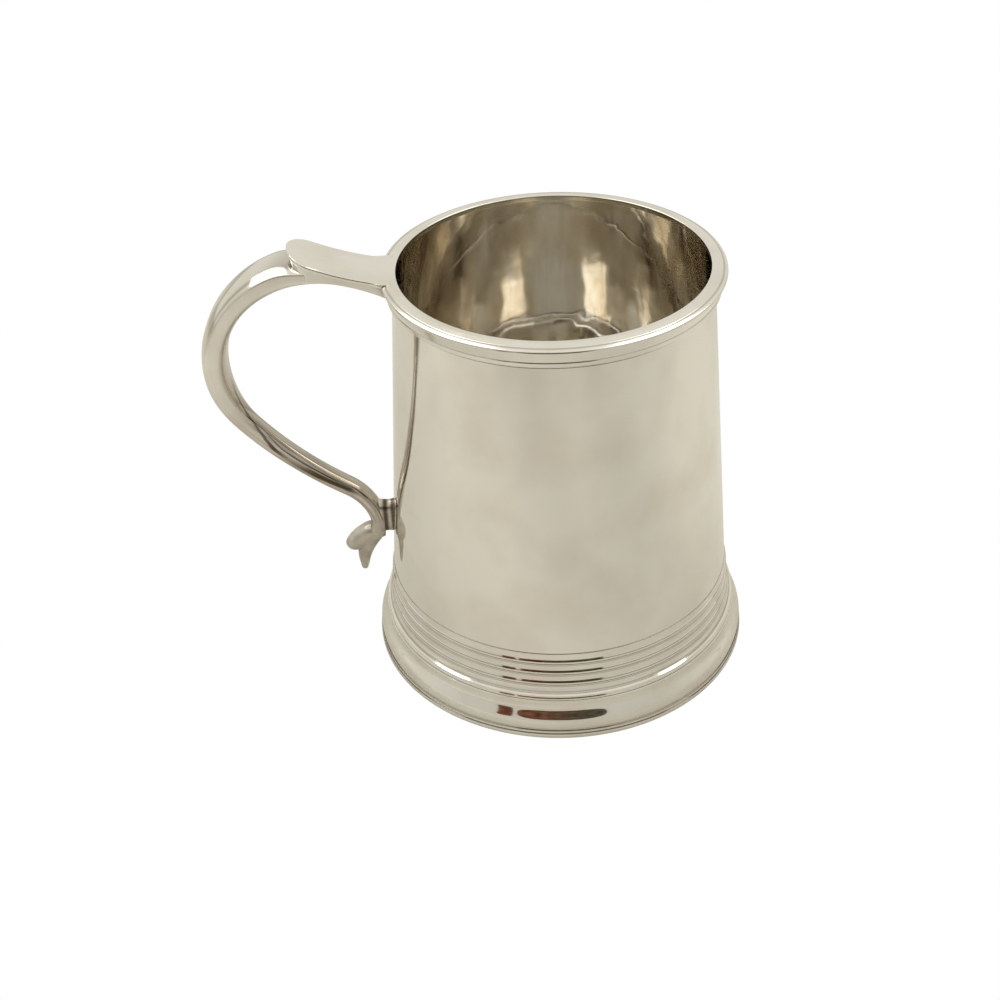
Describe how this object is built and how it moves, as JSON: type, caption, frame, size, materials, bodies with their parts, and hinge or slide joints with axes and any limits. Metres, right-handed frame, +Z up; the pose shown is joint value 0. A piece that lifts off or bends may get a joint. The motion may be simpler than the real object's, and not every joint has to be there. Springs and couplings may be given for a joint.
{
  "type": "tankard",
  "caption": "Tapering silver drinking tankard with a flat-lipped rim, a reeded band, a stepped foot and a hollow scroll handle with a thumb rest.",
  "frame": {"origin": "on the surface that the foot stands on, midway between the outermost points of handle and foot", "axes": "+Z up along the drum's axis, which stands at x = 0.0196; the handle points to -X and lies in the XZ plane"},
  "size_m": [0.1436, 0.1044, 0.1217],
  "materials": {
    "polished_silver": "hand-polished solid silver with a warm grey tone and fine wear",
    "inside_silver": "older, lightly tarnished silver with a soft polish"
  },
  "bodies": {
    "root": {"body_drum": "polished_silver", "base_disc": "inside_silver", "rim_moulding": "polished_silver", "reeded_band": "polished_silver", "foot_skirt": "polished_silver", "foot_wire": "polished_silver", "handle_channel": "polished_silver", "handle_finger_strip": "polished_silver", "thumb_rest": "polished_silver", "heel_strut": "polished_silver", "handle_terminal": "polished_silver"}
  },
  "joints": []
}
